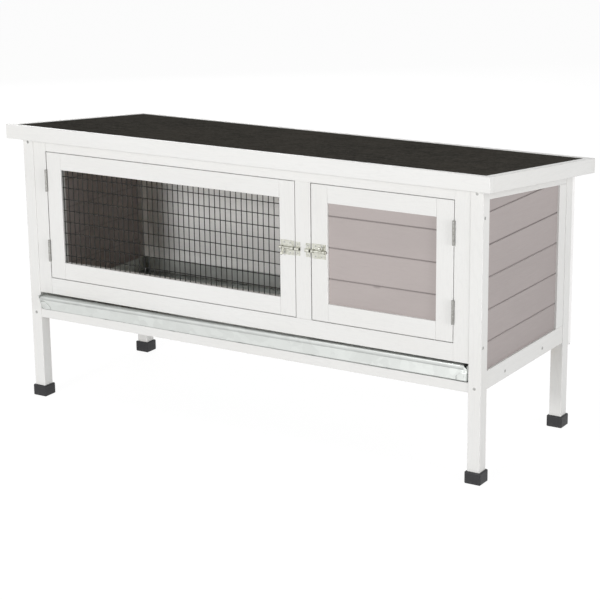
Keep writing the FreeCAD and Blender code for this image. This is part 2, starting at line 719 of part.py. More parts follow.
def drill():
    """Remove each screw's own volume from the pieces that it is driven into."""
    groups = [name for name in NODES if name.endswith("_screws")]
    for group in groups:
        for item in NODES[group].Solids:
            for name, shape in NODES.items():
                if name in groups or not shape.BoundBox.intersect(item.BoundBox):
                    continue
                solids = [
                    solid.cut(item) if solid.BoundBox.intersect(item.BoundBox) else solid
                    for solid in shape.Solids
                ]
                add(name, *[piece for solid in solids for piece in solid.Solids])


# ----------------------------------------------------------------------------- build

def build():
    """Make every node in order."""
    make_posts()
    make_front_frame()
    make_side_walls()
    make_back_wall()
    make_divider()
    make_roof()
    make_left_door()
    make_right_door()
    make_hinges()
    keeper_screws = []
    keepers = [make_bolt(side, keeper_screws) for side in ("left", "right")]
    add("bolt_keepers", *keepers)
    make_tray()
    make_runners()
    make_screws(keeper_screws)
    drill()


build()
os.makedirs("parts", exist_ok=True)
for node_name, node_shape in NODES.items():
    node_shape.exportStep(os.path.join("parts", node_name + ".step"))
print(len(NODES), "nodes,", sum(len(shape.Solids) for shape in NODES.values()), "solids")
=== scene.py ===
import json
import math
import random

import bmesh
import bpy
from mathutils import Matrix, Vector, noise


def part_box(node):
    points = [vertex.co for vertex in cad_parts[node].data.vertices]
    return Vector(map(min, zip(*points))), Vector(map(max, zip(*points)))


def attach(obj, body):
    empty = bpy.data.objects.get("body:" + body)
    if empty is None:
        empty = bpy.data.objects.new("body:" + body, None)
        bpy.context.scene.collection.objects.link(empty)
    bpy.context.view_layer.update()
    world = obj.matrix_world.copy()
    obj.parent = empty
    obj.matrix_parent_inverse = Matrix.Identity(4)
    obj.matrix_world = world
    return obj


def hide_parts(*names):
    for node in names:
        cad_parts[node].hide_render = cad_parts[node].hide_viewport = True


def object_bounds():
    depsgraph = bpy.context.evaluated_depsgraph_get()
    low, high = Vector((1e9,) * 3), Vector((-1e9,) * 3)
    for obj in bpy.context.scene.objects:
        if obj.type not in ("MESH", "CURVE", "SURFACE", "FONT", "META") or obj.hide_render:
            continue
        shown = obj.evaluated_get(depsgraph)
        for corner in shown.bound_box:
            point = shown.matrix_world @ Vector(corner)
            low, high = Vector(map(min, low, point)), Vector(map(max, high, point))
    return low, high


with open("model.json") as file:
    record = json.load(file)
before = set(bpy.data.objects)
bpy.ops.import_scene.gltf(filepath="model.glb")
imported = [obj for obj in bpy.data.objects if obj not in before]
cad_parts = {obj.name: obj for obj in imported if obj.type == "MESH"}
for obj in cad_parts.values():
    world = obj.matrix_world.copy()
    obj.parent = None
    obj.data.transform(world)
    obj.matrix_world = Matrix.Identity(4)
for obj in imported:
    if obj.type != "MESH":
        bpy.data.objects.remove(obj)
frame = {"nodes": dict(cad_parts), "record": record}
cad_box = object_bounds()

# Rabbit hutch: painted timber, boarded den, welded mesh door, galvanised tray and a
# felted roof. Metres, in the frame of the CAD model: +X right, +Y back, +Z up.

NODES = frame["nodes"]
SLOT_OF = {row["node"]: row["material_slot"] for row in frame["record"]["subparts"]}
MM = 0.001
X, Y, Z = 0, 1, 2

WHITE = (0.722, 0.720, 0.708)
WHITE_SHADE = (0.700, 0.694, 0.676)
WHITE_KNOT = (0.69, 0.67, 0.62)
# Brighter copy of the white paint for the back boards: painted light on the inside of the den.
BACK_WALL_PAINTED_LIGHT_WHITE = (0.900, 0.895, 0.885)
# Brighter copy of the white paint for the rear left post: painted light on its faces inside the den.
REAR_POST_PAINTED_LIGHT_WHITE = (0.820, 0.812, 0.795)
DOOR_TAUPE = (0.398, 0.354, 0.343)
DOOR_TAUPE_SHADE = (0.365, 0.325, 0.315)
SIDE_TAUPE = (0.374, 0.333, 0.325)
SIDE_TAUPE_SHADE = (0.343, 0.306, 0.299)
FELT = (0.0520, 0.0494, 0.0436)
FELT_WORN = (0.0780, 0.0701, 0.0593)
WIRE_COAT = (0.020, 0.021, 0.020)
CAP_PLASTIC = (0.022, 0.022, 0.024)
CAP_DUST = (0.065, 0.063, 0.061)
ZINC_SHEET = (0.63, 0.65, 0.63)
# Darker zinc for painted shade on the tray's floor and rim.
ZINC_SHEET_PAINTED_SHADE = (0.26, 0.28, 0.27)
PINE = (0.70, 0.52, 0.33)
PINE_SHADE = (0.62, 0.44, 0.26)
PINE_KNOT = (0.36, 0.20, 0.09)

# Boards of the den: the height of a board, the height of one joint in the door and in the
# side, how far from a joint its dark line of painted shade begins and is full, and the x and
# z of a dark burr on the door with half its size.
BOARD_PITCH = 64.0 * MM
DOOR_FIRST_JOINT = 369.5 * MM
SIDE_FIRST_JOINT = 281.0 * MM
JOINT_EDGE = 2.6 * MM
JOINT_CORE = 0.4 * MM
DOOR_BURR = (323.0 * MM, 368.0 * MM)
BURR_HALF = (12.0 * MM, 4.0 * MM)

# Camera: place in metres, turns in degrees and lens in millimetres.
CAMERA_PLACE = (2.0324, -3.2229, 1.3131)
CAMERA_YAW, CAMERA_PITCH, CAMERA_ROLL = 32.092, 15.678, -0.681
CAMERA_LENS = 109.87

# Lights: azimuth and elevation in degrees, distance and width in metres, power in watts.
# Azimuth 0 is in front and 90 to the right.
LIGHTS = {
    "key_light": (-5.0, 17.0, 4.5, 0.70, 70.0),
    "low_light": (-5.0, 4.0, 4.5, 1.1, 51.0),
    "side_light": (80.0, 24.0, 2.2, 1.2, 10.0),
    "low_side_light": (76.0, 4.0, 8.0, 1.5, 185.0),
    "top_light": (0.0, 86.0, 4.5, 2.6, 64.0),
    "rear_light": (-140.0, 20.0, 4.5, 2.4, 60.0),
}

# The floor and the surroundings look brighter than the light they throw on the object.
FLOOR = (0.10, 0.10, 0.10)
FLOOR_GLOW_SEEN, FLOOR_GLOW_THROWN = 0.95, 0.60
SKY_SEEN, SKY_THROWN = 1.0, 0.17


# ------------------------------------------------------------------ material building

class Finish:
    """One material, with short calls for the nodes that its graph is made of."""

    def __init__(self, name, colour, roughness, metallic=0.0, specular=0.5):
        self.material = bpy.data.materials.new(name)
        self.material.use_nodes = True
        self.tree = self.material.node_tree
        self.shader = self.tree.nodes["Principled BSDF"]
        self.set("Base Color", (*colour, 1.0))
        self.set("Roughness", roughness)
        self.set("Metallic", metallic)
        self.set("Specular IOR Level", specular)
        self.place = self.node("ShaderNodeTexCoord").outputs["Object"]

    def set(self, socket, value):
        """Put a plain value on the shader, or link a node's output to it."""
        self.put(self.shader.inputs[socket], value)

    def put(self, socket, value):
        """Link an output to a socket, or give the socket a plain value."""
        if isinstance(value, bpy.types.NodeSocket):
            self.tree.links.new(value, socket)
        else:
            socket.default_value = value

    def node(self, kind, inputs=None, **settings):
        """A new node with its settings and inputs."""
        made = self.tree.nodes.new(kind)
        for key, value in settings.items():
            setattr(made, key, value)
        for key, value in (inputs or {}).items():
            self.put(made.inputs[key], value)
        return made

    def stretched(self, axis, amount, shift=(0.0, 0.0, 0.0)):
        """Object coordinates drawn out along one axis, for grain."""
        scale = [1.0, 1.0, 1.0]
        scale[axis] = 1.0 / amount
        inputs = {"Vector": self.place, "Scale": scale, "Location": shift}
        return self.node("ShaderNodeMapping", inputs).outputs["Vector"]

    def noise(self, scale, at=None, detail=3.0, roughness=0.55, distortion=0.0):
        """Smooth noise from 0 to 1."""
        inputs = {
            "Vector": at or self.place,
            "Scale": scale,
            "Detail": detail,
            "Roughness": roughness,
            "Distortion": distortion,
        }
        return self.node("ShaderNodeTexNoise", inputs).outputs["Fac"]

    def cells(self, scale, at=None, output="Distance"):
        """Voronoi cells, as a distance or as a colour for each cell."""
        inputs = {"Vector": at or self.place, "Scale": scale}
        return self.node("ShaderNodeTexVoronoi", inputs).outputs[output]

    def span(self, value, low, high, to_low=0.0, to_high=1.0):
        """The value carried from one range to another, and kept inside it."""
        inputs = {
            "Value": value,
            "From Min": low,
            "From Max": high,
            "To Min": to_low,
            "To Max": to_high,
        }
        return self.node("ShaderNodeMapRange", inputs).outputs["Result"]

    def math(self, operation, first, second=0.0):
        """Arithmetic on one or two values."""
        return self.node(
            "ShaderNodeMath", {0: first, 1: second}, operation=operation
        ).outputs["Value"]

    def blend(self, factor, first, second):
        """Two colours mixed by a factor."""
        made = self.node("ShaderNodeMix", data_type="RGBA")
        self.put(made.inputs["Factor"], factor)
        for index, value in ((6, first), (7, second)):
            self.put(made.inputs[index], (*value, 1.0) if isinstance(value, tuple) else value)
        return made.outputs[2]

    def relief(self, height, depth, strength=1.0, below=None):
        """Bump of a given depth in metres, over an earlier one if there is one."""
        inputs = {"Height": height, "Distance": depth, "Strength": strength}
        if below is not None:
            inputs["Normal"] = below
        return self.node("ShaderNodeBump", inputs).outputs["Normal"]

    def part(self, axis, vector=None):
        """One component of a vector, or else of the object coordinates."""
        split = self.node("ShaderNodeSeparateXYZ", {"Vector": vector or self.place})
        return split.outputs[axis]


def scaled(colour, factor):
    """The colour made darker or lighter by a factor."""
    return tuple(min(1.0, channel * factor) for channel in colour)


def planed_wood(name, axis, colour, shade, knot_tint, knots, grain_depth, roughness):
    """Softwood whose grain runs along an axis: its finish, and its tone for more work."""
    finish = Finish(name, colour, roughness, specular=0.35)
    along = finish.stretched(axis, 22.0)
    fibres = finish.noise(420.0, along, detail=4.0, roughness=0.65)
    figure = finish.noise(46.0, finish.stretched(axis, 9.0), detail=2.0, distortion=1.4)
    rings = finish.math("FRACT", finish.math("MULTIPLY", figure, 7.0))
    rings = finish.span(finish.math("ABSOLUTE", finish.math("SUBTRACT", rings, 0.5)), 0.0, 0.5)
    patches = finish.noise(9.0, finish.stretched(axis, 2.5), detail=2.0)

    knot_place = finish.stretched(axis, 1.6, (0.013, 0.027, 0.041))
    knot_gap = finish.cells(9.0, knot_place)
    knot = finish.span(knot_gap, 0.045, 0.10, 1.0, 0.0)
    chosen = finish.span(finish.noise(3.1, detail=0.0), 0.50, 0.56)
    knot = finish.math("MULTIPLY", finish.math("MULTIPLY", knot, chosen), knots)

    tone = finish.blend(finish.span(patches, 0.3, 0.72), colour, shade)
    darker = scaled(colour, 0.90)
    tone = finish.blend(finish.span(rings, 0.55, 1.0, 0.0, 0.30), tone, darker)
    tone = finish.blend(finish.span(fibres, 0.55, 0.80, 0.0, 0.45), tone, darker)
    tone = finish.blend(knot, tone, knot_tint)
    finish.set("Base Color", tone)
    finish.set("Roughness", finish.span(fibres, 0.3, 0.7, roughness - 0.08, roughness + 0.10))
    deep = finish.relief(rings, grain_depth * 0.5, 0.5)
    finish.set("Normal", finish.relief(fibres, grain_depth, 0.7, deep))
    return finish, tone


def stained_boards(name, axis, colour, shade, first_joint, pitch, burr=None):
    """Stained boards one above the other, each a little different from the next.

    The joints between them carry a dark line of painted shade. The burr, if there is one, at its x
    and z, is dark wood.
    """
    finish, tone = planed_wood(
        name, axis, colour, shade, scaled(colour, 0.72),
        knots=0.55, grain_depth=0.22 * MM, roughness=0.62,
    )
    rise = finish.math("DIVIDE", finish.math("SUBTRACT", finish.part(Z), first_joint), pitch)
    board = finish.math("FLOOR", rise)
    chance = finish.node(
        "ShaderNodeTexWhiteNoise", {"W": board}, noise_dimensions="1D"
    ).outputs["Value"]
    lift = finish.span(chance, 0.0, 1.0, 0.0, 0.42)
    tone = finish.blend(lift, tone, scaled(shade, 1.10))
    # Dark line at each joint: painted shade of the gap between boards, stronger or weaker from board
    # to board.
    from_middle = finish.math("ABSOLUTE", finish.math("SUBTRACT", finish.math("FRACT", rise), 0.5))
    joint = finish.span(from_middle, 0.5 - JOINT_EDGE / pitch, 0.5 - JOINT_CORE / pitch)
    mark = finish.math("MULTIPLY", joint, finish.span(chance, 0.0, 1.0, 0.25, 0.62))
    if burr:
        squares = []
        for side, centre, half in zip((X, Z), burr, BURR_HALF):
            offset = finish.math("DIVIDE", finish.math("SUBTRACT", finish.part(side), centre), half)
            squares.append(finish.math("POWER", offset, 2.0))
        reach = finish.math("ADD", *squares)
        mark = finish.math("MAXIMUM", mark, finish.span(reach, 0.2, 1.0, 0.45, 0.0))
    finish.set("Base Color", finish.blend(mark, tone, scaled(colour, 0.35)))
    return finish.material


def mineral_felt():
    """Black roofing felt under a coat of fine slate granules."""
    finish = Finish("mineral_felt", FELT, 0.95, specular=0.0)
    grain = finish.cells(900.0)
    tint = finish.cells(900.0, output="Color")
    grey = finish.part(X, tint)
    mottle = finish.noise(150.0, detail=4.0, roughness=0.7)
    patch = finish.noise(42.0, detail=5.0, roughness=0.75)
    broad = finish.noise(6.0, detail=3.0)
    tone = finish.blend(finish.span(mottle, 0.36, 0.66), scaled(FELT, 0.70), scaled(FELT, 1.35))
    tone = finish.blend(finish.span(patch, 0.38, 0.50, 0.45, 0.0), tone, scaled(FELT, 0.45))
    tone = finish.blend(finish.span(patch, 0.52, 0.66, 0.0, 0.55), tone, FELT_WORN)
    tone = finish.blend(finish.span(grey, 0.90, 1.0, 0.0, 0.45), tone, scaled(FELT, 2.6))
    tone = finish.blend(finish.span(broad, 0.35, 0.7, 0.0, 0.4), tone, FELT_WORN)
    finish.set("Base Color", tone)
    finish.set("Roughness", finish.span(grey, 0.0, 1.0, 0.82, 0.98))
    clumps = finish.relief(mottle, 0.9 * MM, 0.7)
    grains = finish.span(grain, 0.0, 0.6, 1.0, 0.0)
    finish.set("Normal", finish.relief(grains, 0.6 * MM, 0.8, clumps))
    return finish.material


def galvanised(floor, rim):
    """Zinc-coated sheet with a faint crystal spangle and bloomed walls, with painted shade on its
    floor and along its rim.

    The floor and the rim are the heights where the sheet begins and ends.
    """
    finish = Finish("galvanised_sheet", ZINC_SHEET, 0.4, metallic=0.55)
    wander = finish.node("ShaderNodeTexNoise", {"Vector": finish.place, "Scale": 60.0})
    small = finish.node(
        "ShaderNodeVectorMath", {0: wander.outputs["Color"], "Scale": 0.012}, operation="SCALE"
    )
    at = finish.node(
        "ShaderNodeVectorMath", {0: finish.place, 1: small.outputs["Vector"]}, operation="ADD"
    ).outputs["Vector"]
    crystal = finish.cells(55.0, at, output="Color")
    facet = finish.part(X, crystal)
    cloud = finish.noise(14.0, detail=3.0)
    fine = finish.noise(700.0, detail=2.0)
    tone = finish.blend(facet, scaled(ZINC_SHEET, 0.95), scaled(ZINC_SHEET, 1.04))
    tone = finish.blend(finish.span(cloud, 0.35, 0.7, 0.0, 0.25), tone, scaled(ZINC_SHEET, 0.94))
    height = finish.part(Z)
    # Painted shade: the floor is darkened like the dark inside of the den that it reflects, and the
    # top of the rim is darkened to damp the highlight on it.
    low = finish.span(height, floor + 1.0 * MM, floor + 2.2 * MM, 0.8, 0.0)
    high = finish.span(height, rim - 2.2 * MM, rim - 0.4 * MM, 0.0, 0.45)
    finish.set("Base Color", finish.blend(finish.math("MAXIMUM", low, high), tone, ZINC_SHEET_PAINTED_SHADE))
    wall_foot, wall_clear = floor + 1.5 * MM, floor + 3.0 * MM
    finish.set("Metallic", finish.span(height, wall_foot, wall_clear, 0.95, 0.55))
    polish = finish.span(height, wall_foot, wall_clear, 0.27, 0.41)
    dull = finish.span(cloud, 0.3, 0.7, -0.02, 0.04)
    uneven = finish.math("ADD", dull, finish.span(facet, 0.0, 1.0, -0.02, 0.03))
    finish.set("Roughness", finish.math("ADD", polish, uneven))
    finish.set("Normal", finish.relief(fine, 0.03 * MM, 0.3))
    return finish.material


def zinc_plate():
    """Bright zinc plating on small pressed fittings."""
    finish = Finish("zinc_fittings", (0.62, 0.62, 0.58), 0.32, metallic=1.0)
    brushed = finish.noise(900.0, finish.stretched(X, 14.0), detail=3.0)
    bloom = finish.noise(160.0, detail=3.0)
    tone = finish.blend(finish.span(bloom, 0.35, 0.68), (0.58, 0.58, 0.53), (0.44, 0.44, 0.38))
    finish.set("Base Color", tone)
    finish.set("Roughness", finish.span(brushed, 0.3, 0.7, 0.24, 0.42))
    finish.set("Normal", finish.relief(brushed, 0.03 * MM, 0.5))
    return finish.material


def hinge_painted_shade_steel():
    """Thinly plated steel of the hinges, its colour darkened as painted shade."""
    finish = Finish("hinge_painted_shade_steel", (0.36, 0.36, 0.345), 0.4, metallic=0.95)
    bloom = finish.noise(220.0, detail=3.0)
    tone = finish.blend(finish.span(bloom, 0.35, 0.68), (0.34, 0.34, 0.325), (0.22, 0.215, 0.20))
    finish.set("Base Color", tone)
    finish.set("Roughness", finish.span(bloom, 0.3, 0.7, 0.32, 0.5))
    finish.set("Normal", finish.relief(bloom, 0.03 * MM, 0.4))
    return finish.material


def screw_steel():
    """Dulled steel of screw heads that are driven flush with the paint."""
    finish = Finish("screw_steel", (0.40, 0.40, 0.39), 0.45, metallic=0.9)
    wear = finish.noise(1400.0, detail=3.0)
    tone = finish.blend(finish.span(wear, 0.35, 0.7), (0.30, 0.30, 0.29), (0.52, 0.52, 0.505))
    finish.set("Base Color", tone)
    finish.set("Roughness", finish.span(wear, 0.3, 0.7, 0.34, 0.56))
    return finish.material


def coated_wire():
    """Dark coated wire, slightly uneven where the coating pooled at the welds."""
    finish = Finish("mesh_wire", WIRE_COAT, 0.5, specular=0.15)
    lumps = finish.noise(500.0, detail=2.0)
    tone = finish.blend(finish.span(lumps, 0.35, 0.7), (0.015, 0.016, 0.015), (0.028, 0.029, 0.028))
    finish.set("Base Color", tone)
    finish.set("Roughness", finish.span(lumps, 0.3, 0.7, 0.34, 0.52))
    finish.set("Normal", finish.relief(lumps, 0.04 * MM, 0.4))
    return finish.material


def moulded_cap():
    """Black moulded plastic, finely textured and a little dusty near the floor."""
    finish = Finish("foot_cap_plastic", CAP_PLASTIC, 0.5, specular=0.3)
    texture = finish.noise(1500.0, detail=2.0)
    scuff = finish.noise(190.0, detail=4.0, roughness=0.7)
    low = finish.span(finish.part(Z), 0.0, 12.0 * MM, 0.7, 0.15)
    dust = finish.math("MULTIPLY", finish.span(scuff, 0.45, 0.7), low)
    finish.set("Base Color", finish.blend(dust, CAP_PLASTIC, CAP_DUST))
    finish.set("Roughness", finish.span(scuff, 0.3, 0.7, 0.42, 0.60))
    finish.set("Normal", finish.relief(texture, 0.08 * MM, 0.5))
    return finish.material


# -------------------------------------------------------------------------- finishes

def white_paint(axis, name="white_paint_", colour=WHITE, shade=WHITE_SHADE):
    """Satin white paint on timber whose grain runs along the axis."""
    return planed_wood(
        name + "xyz"[axis], axis, colour, shade, WHITE_KNOT,
        knots=0.35, grain_depth=0.16 * MM, roughness=0.48,
    )[0].material


def bare_pine(name, axis):
    """Plain pine or ply, unpainted."""
    return planed_wood(
        name, axis, PINE, PINE_SHADE, PINE_KNOT,
        knots=0.8, grain_depth=0.18 * MM, roughness=0.6,
    )[0].material


finishes = {
    "mineral_felt": mineral_felt(),
    "foot_cap_plastic": moulded_cap(),
    "mesh_wire": coated_wire(),
    "galvanised_sheet": galvanised(*(corner[Z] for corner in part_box("tray"))),
    "screw_steel": screw_steel(),
    "zinc_fittings": zinc_plate(),
    "plywood": bare_pine("plywood", X),
    "plain_pine": bare_pine("plain_pine", Y),
}
for axis in (X, Y, Z):
    finishes["white_paint", axis] = white_paint(axis)
# The hinges get their own steel, darkened as painted shade.
hinge_painted_shade_finish = hinge_painted_shade_steel()
HINGE_LEAVES = ("hinge_frame_leaves", "left_door_hinge_leaves", "right_door_hinge_leaves")
for node in (*HINGE_LEAVES, "hinge_pins"):
    finishes[node] = hinge_painted_shade_finish
# The back boards get the brighter white, as painted light on the inside of the den.
finishes["back_boards"] = white_paint(X, "white_paint_back_", BACK_WALL_PAINTED_LIGHT_WHITE, BACK_WALL_PAINTED_LIGHT_WHITE)
# The rear left post gets the brighter white, as painted light inside the den.
finishes["rear_left_post"] = white_paint(Z, "white_paint_rear_", REAR_POST_PAINTED_LIGHT_WHITE, REAR_POST_PAINTED_LIGHT_WHITE)
finishes["taupe_paint", X] = stained_boards(
    "taupe_paint_x", X, DOOR_TAUPE, DOOR_TAUPE_SHADE, DOOR_FIRST_JOINT, BOARD_PITCH, DOOR_BURR
)
finishes["taupe_paint", Y] = stained_boards(
    "taupe_paint_y", Y, SIDE_TAUPE, SIDE_TAUPE_SHADE, SIDE_FIRST_JOINT, BOARD_PITCH
)


def grain_axis(node):
    """The longest side of a node, which its grain follows."""
    low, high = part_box(node)
    size = [high[axis] - low[axis] for axis in (X, Y, Z)]
    return size.index(max(size))


def finish_for(node):
    """The material of a CAD node, by its slot and its grain."""
    slot = SLOT_OF[node]
    if node in finishes:
        return finishes[node]
    if slot == "white_paint":
        return finishes[slot, grain_axis(node)]
    if slot == "taupe_paint":
        return finishes[slot, Y if "side" in node else X]
    return finishes[slot]


for node, piece in NODES.items():
    piece.data.materials.clear()
    piece.data.materials.append(finish_for(node))


# -------------------------------------------------------------------------- mesh work

def new_piece(name, body, replaced, slot):
    """An empty mesh object that stands for some CAD nodes and moves with their body."""
    mesh = bpy.data.meshes.new(name)
    piece = bpy.data.objects.new(name, mesh)
    bpy.context.scene.collection.objects.link(piece)
    mesh.materials.append(finishes[slot])
    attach(piece, body)
    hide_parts(*replaced)
    return piece


def fill(piece, work, smooth=True):
    """Write the worked mesh to its piece."""
    bmesh.ops.recalc_face_normals(work, faces=work.faces)
    work.to_mesh(piece.data)
    work.free()
    for face in piece.data.polygons:
        face.use_smooth = smooth


def strip(work, rows):
    """Faces between rows of points. The new corners are given back, row by row."""
    made = [[work.verts.new(point) for point in row] for row in rows]
    for one, other in zip(made, made[1:]):
        for index in range(len(one) - 1):
            work.faces.new((one[index], one[index + 1], other[index + 1], other[index]))
    return made


def band(work, one, other):
    """Faces between two closed loops with the same number of corners."""
    for step in range(len(one)):
        following = (step + 1) % len(one)
        work.faces.new((one[step], one[following], other[following], other[step]))


def tube(work, path, radius, sides, across):
    """Closed round tube along a path of points, on rings spanned by two directions."""
    rings = []
    for point in path:
        ring = []
        for step in range(sides):
            angle = 2 * math.pi * step / sides
            offset = across[0] * math.cos(angle) + across[1] * math.sin(angle)
            ring.append(work.verts.new(point + offset * radius))
        rings.append(ring)
    for one, other in zip(rings, rings[1:]):
        band(work, one, other)
    work.faces.new(reversed(rings[0]))
    work.faces.new(rings[-1])


# ------------------------------------------------------------------------ door mesh

def make_door_mesh():
    """Two layers of round wire, welded where they cross."""
    random.seed(11)
    low, high = (Vector(corner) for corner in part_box("left_door_mesh"))
    radius = 0.95 * MM
    wobble = 0.10 * MM
    pitch_x, first_x = 13.15 * MM, -452.2 * MM
    pitch_z, first_z = 25.1 * MM, 333.9 * MM
    middle_y = (low.y + high.y) / 2
    right, back, up = Vector((1, 0, 0)), Vector((0, 1, 0)), Vector((0, 0, 1))
    upright_y, level_y = middle_y - radius * 0.85, middle_y + radius * 0.85
    sides, upright_steps, level_steps = 8, 6, 22
    piece = new_piece("door_mesh_wires", "left_door", ["left_door_mesh"], "mesh_wire")
    work = bmesh.new()

    def wire(start, end, steps, across):
        """A nearly straight wire with the small bends of a real one."""
        path = []
        for index in range(steps + 1):
            point = start.lerp(end, index / steps)
            for axis in (X, Y, Z):
                point[axis] += random.uniform(-wobble, wobble) * (0.4 if axis == Y else 1.0)
            path.append(point)
        tube(work, path, radius, sides, across)

    x = first_x
    while x < high.x:
        start, end = Vector((x, upright_y, low.z)), Vector((x, upright_y, high.z))
        wire(start, end, upright_steps, (right, back))
        x += pitch_x
    z = first_z
    while z < high.z:
        start, end = Vector((low.x, level_y, z)), Vector((high.x, level_y, z))
        wire(start, end, level_steps, (back, up))
        z += pitch_z
    fill(piece, work)


# ------------------------------------------------------------------------------ tray

def make_tray():
    """Folded sheet tray: wavy floor, rounded bends, front hem and riveted tabs."""
    points = [vertex.co for vertex in NODES["tray"].data.vertices]
    bottom = min(point.z for point in points)
    top = max(point.z for point in points)
    base = [point for point in points if point.z < bottom + 0.01 * MM]
    front_right = max(base, key=lambda point: point.x)
    front_left = min(base, key=lambda point: point.y)
    rear_left = min(base, key=lambda point: point.x)
    along = (front_right - front_left).normalized()
    inward = Vector((-along.y, along.x, 0.0))
    sheet = 1.0 * MM
    lean, sink = 15.0 * MM, 2.7 * MM
    width = (front_right - front_left).length
    depth = (rear_left - front_left).dot(inward) - sheet
    corner = front_left + inward * sheet
    height = top - bottom
    bend = 1.6 * MM
    half = sheet / 2
    calm, front_calm = 50 * MM, 4 * MM

    def spot(u, v, z):
        """Point of the tray from its left front corner, with the sheet's own waves.

        Towards the left the foot of the front wall stands further back than its top.
        Towards the right its top edge dips. The floor's waves die out near the walls.
        """
        set_back = lean * (1 - u / width) * (1 - z / height) * (1 - v / depth)
        flat = corner + along * u + inward * (v + set_back)
        z -= sink * (z / height) * (1 - v / depth) * (u / width) ** 2
        wave = 0.5 + 0.5 * noise.noise(Vector((u * 5.0, v * 6.0, 2.0)))
        ease = min(1.0, min(u, width - u, v + front_calm, depth - v) / calm)
        rise = 1.0 * MM * wave * max(0.0, ease) * (1.0 if z < 2 * MM else 0.0)
        return Vector((flat.x, flat.y, bottom + z + rise))

    piece = new_piece("tray_sheet", "tray", ["tray"], "galvanised_sheet")
    work = bmesh.new()

    inset = half + bend
    columns, lines = 84, 32
    strip(work, [
        [
            spot(
                inset + (width - 2 * inset) * column / columns,
                inset + (depth - 2 * inset) * line / lines,
                half,
            )
            for column in range(columns + 1)
        ]
        for line in range(lines + 1)
    ])

    bend_steps, hem_steps = 4, 6
    hem_bend, hem_height = 0.36 * MM, 9.0 * MM
    notch_start, notch = height - 7.5 * MM, 8.0 * MM
    sway_reach, sway_scale = 0.5 * MM, 7.0

    def wall(length, place, hem, steps):
        """One wall from its bend up, with a hem over its top edge where there is one."""
        profile = []
        for step in range(bend_steps + 1):
            angle = math.pi / 2 * step / bend_steps
            profile.append((math.sin(angle) * bend - bend, half + bend - math.cos(angle) * bend))
        profile += [(0.0, bend * 2), (0.0, notch_start), (0.0, height - half - hem_bend)]
        if hem:
            for step in range(1, hem_steps):
                angle = math.pi * step / hem_steps
                profile.append((
                    hem_bend - math.cos(angle) * hem_bend,
                    height - half - hem_bend + math.sin(angle) * hem_bend,
                ))
            profile += [(2 * hem_bend, height - half - hem_bend), (2 * hem_bend, height - hem_height)]
        else:
            profile.append((0.0, height))
        rows = []
        for offset, rise in profile:
            trim = inset if rise < bend * 2 else half
            if hem and (rise > notch_start or offset > hem_bend):
                trim = half + notch * min(1.0, (rise - notch_start) / (height - notch_start))
                if offset > 0:
                    trim = notch
            row = []
            for index in range(steps + 1):
                run = trim + (length - 2 * trim) * index / steps
                lift = max(0.0, rise / height - 0.2)
                sway = noise.noise(Vector((run * sway_scale, length, 4.0))) * sway_reach * lift
                row.append(place(run, offset + sway, rise))
            rows.append(row)
        strip(work, rows)

    wall(width, lambda run, out, z: spot(run, half - out, z), True, 90)
    wall(width, lambda run, out, z: spot(run, depth - half + out, z), False, 60)
    wall(depth, lambda run, out, z: spot(half - out, run, z), False, 30)
    wall(depth, lambda run, out, z: spot(width - half + out, run, z), False, 30)

    lip_depth, lip_drop, lip_lines = 17.5 * MM, 0.5 * MM, 4
    strip(work, [
        [
            spot(
                notch + (width - 2 * notch) * column / columns,
                half + lip_depth * line / lip_lines,
                height - half - lip_drop * line / lip_lines,
            )
            for column in range(columns + 1)
        ]
        for line in range(lip_lines + 1)
    ])

    tab_length, tab_height, tab_cut = 24 * MM, 20 * MM, 12 * MM
    tab_foot, tab_edge, tab_lift = 0.8 * MM, 0.6 * MM, 0.5 * MM
    tab_lines, tab_columns = 8, 6
    for at_right in (False, True):
        rows = []
        for line in range(tab_lines + 1):
            z = tab_foot + (tab_height - tab_foot) * line / tab_lines
            reach = tab_length - max(0.0, z - tab_height / 2) / (tab_height / 2) * tab_cut
            lift = tab_lift * (z / tab_height) ** 2
            row = []
            for column in range(tab_columns + 1):
                u = tab_edge + (reach - tab_edge) * column / tab_columns
                v = -half - lift * column / tab_columns
                row.append(spot(width - u if at_right else u, v, z))
            rows.append(row)
        strip(work, rows)

    bmesh.ops.remove_doubles(work, verts=work.verts, dist=0.02 * MM)
    fill(piece, work)
    thick = piece.modifiers.new("sheet", "SOLIDIFY")
    thick.thickness = sheet * 0.6
    thick.offset = 0.0
    thick.use_even_offset = True


# ------------------------------------------------------------------------------ felt

